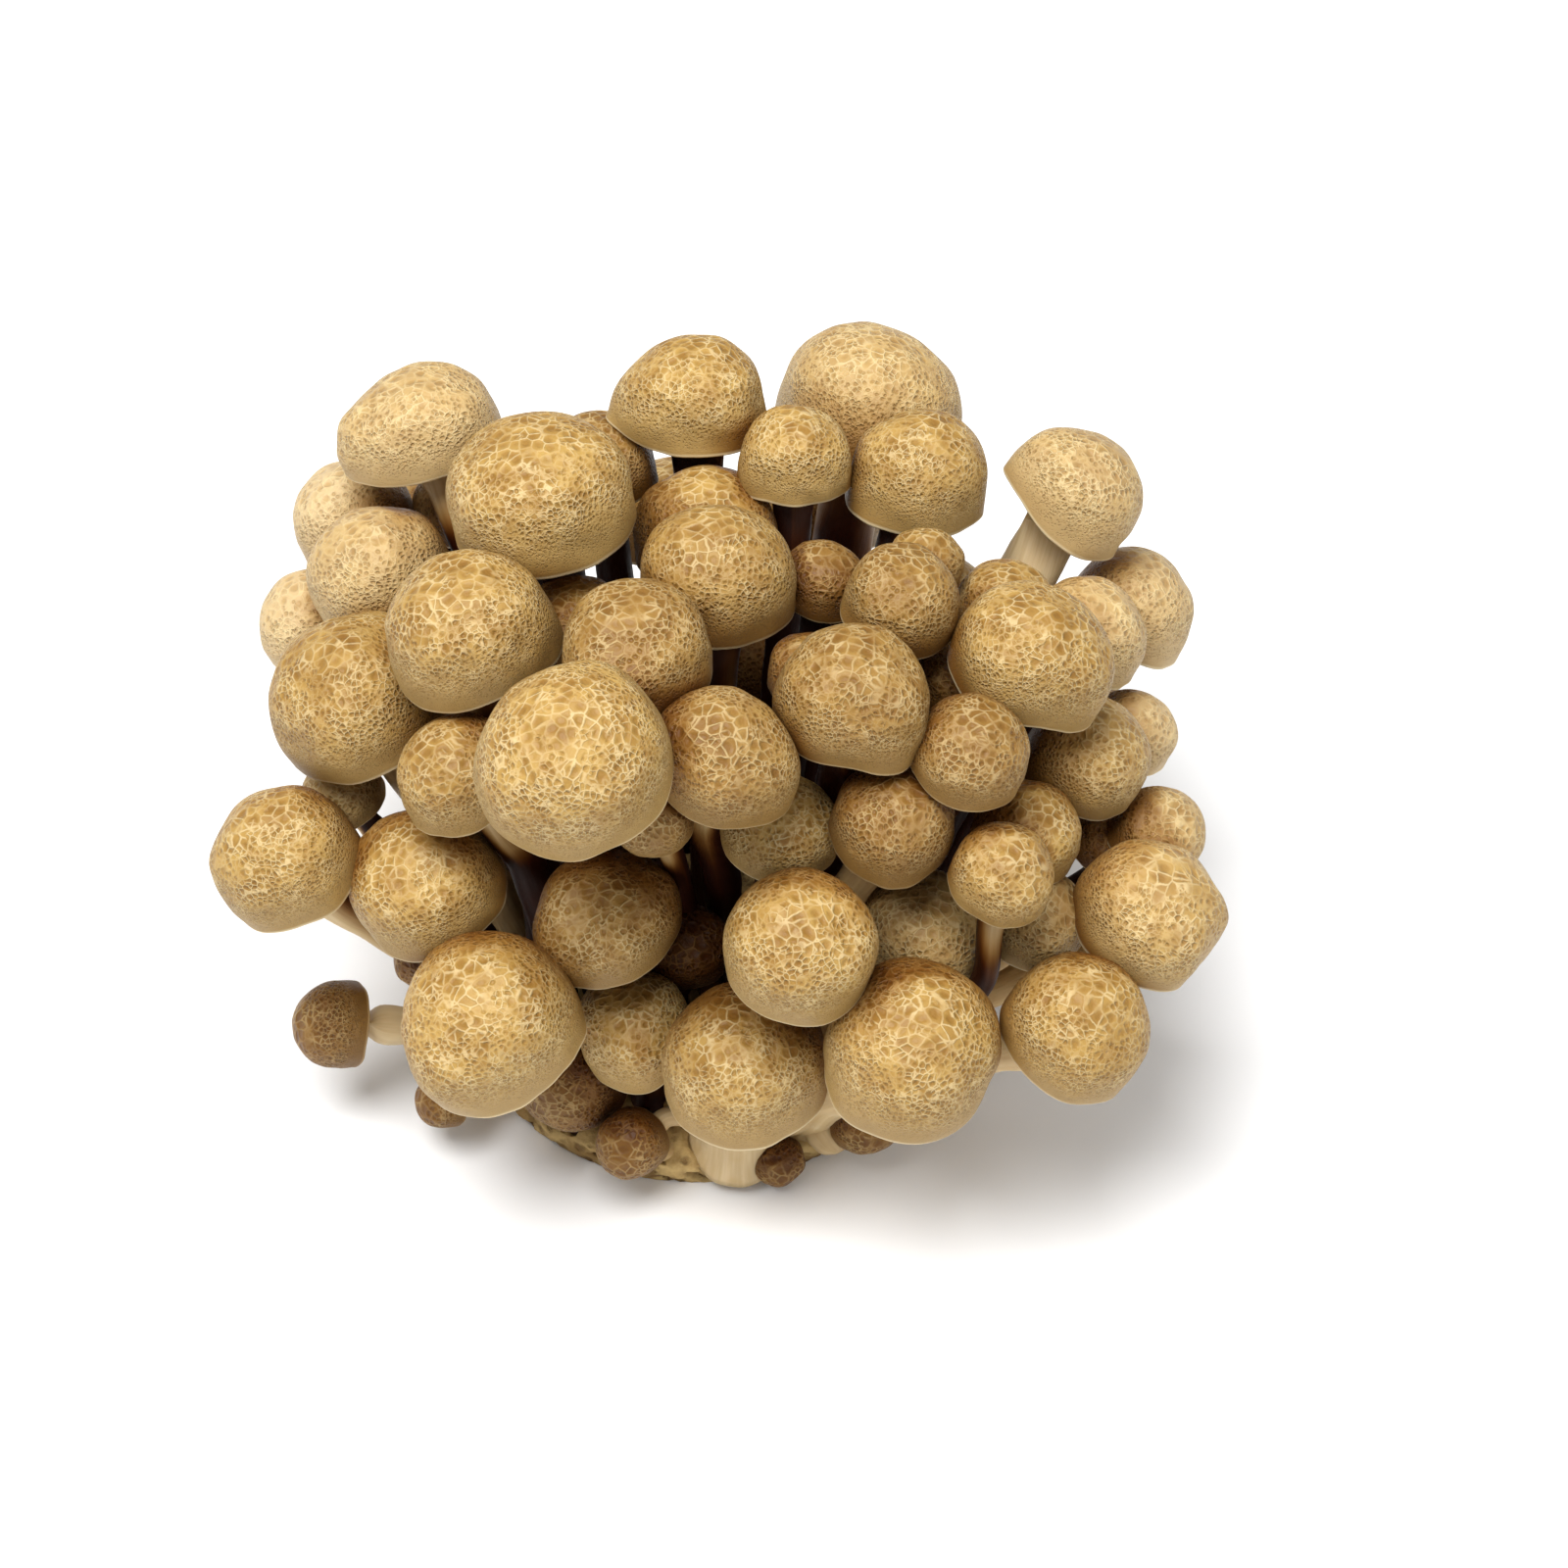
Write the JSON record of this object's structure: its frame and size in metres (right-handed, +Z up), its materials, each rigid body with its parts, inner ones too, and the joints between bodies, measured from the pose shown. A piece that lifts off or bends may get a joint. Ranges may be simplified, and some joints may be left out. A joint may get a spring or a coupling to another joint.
{
  "type": "beech mushroom cluster",
  "caption": "Upright cluster of brown beech mushrooms with domed, net-patterned caps on pale stems, grown from one flat-cut plug of mycelium.",
  "frame": {"origin": "centre of the plug's flat cut underside, which the cluster rests on", "axes": "+Z up along the cluster, -Y its front, +X to the right of someone facing that front"},
  "size_m": [0.1255, 0.1107, 0.089],
  "materials": {
    "mushroom": "matte",
    "button": "matte",
    "mycelium": "matte"
  },
  "bodies": {
    "root": {"back_mushroom_01": "mushroom", "back_mushroom_02": "mushroom", "back_mushroom_03": "mushroom", "back_mushroom_04": "mushroom", "back_mushroom_05": "mushroom", "button_mushroom_01": "button", "button_mushroom_02": "button", "button_mushroom_03": "button", "button_mushroom_04": "button", "crown_mushroom_01": "mushroom", "crown_mushroom_02": "mushroom", "crown_mushroom_03": "mushroom", "crown_mushroom_04": "mushroom", "crown_mushroom_05": "mushroom", "crown_mushroom_06": "mushroom", "crown_mushroom_07": "mushroom", "crown_mushroom_08": "mushroom", "crown_mushroom_09": "mushroom", "crown_mushroom_10": "mushroom", "crown_mushroom_11": "mushroom", "crown_mushroom_12": "mushroom", "crown_mushroom_13": "mushroom", "crown_mushroom_14": "mushroom", "crown_mushroom_15": "mushroom", "crown_mushroom_16": "mushroom", "crown_mushroom_17": "mushroom", "front_mushroom_01": "mushroom", "front_mushroom_02": "mushroom", "front_mushroom_03": "mushroom", "front_mushroom_04": "mushroom", "front_mushroom_05": "mushroom", "front_mushroom_06": "mushroom", "front_mushroom_07": "mushroom", "front_mushroom_08": "mushroom", "front_mushroom_09": "mushroom", "front_mushroom_10": "mushroom", "left_mushroom_01": "mushroom", "left_mushroom_02": "mushroom", "left_mushroom_03": "mushroom", "left_mushroom_04": "mushroom", "left_mushroom_05": "mushroom", "left_mushroom_06": "mushroom", "left_mushroom_07": "mushroom", "left_mushroom_08": "mushroom", "left_mushroom_09": "mushroom", "left_mushroom_10": "mushroom", "mycelium_plug": "mycelium", "right_mushroom_01": "mushroom", "right_mushroom_02": "mushroom", "right_mushroom_03": "mushroom", "right_mushroom_04": "mushroom", "right_mushroom_05": "mushroom", "right_mushroom_06": "mushroom", "right_mushroom_07": "mushroom", "right_mushroom_08": "mushroom", "right_mushroom_09": "mushroom", "right_mushroom_10": "mushroom", "right_mushroom_11": "mushroom", "right_mushroom_12": "mushroom", "right_mushroom_13": "mushroom"}
  },
  "joints": []
}
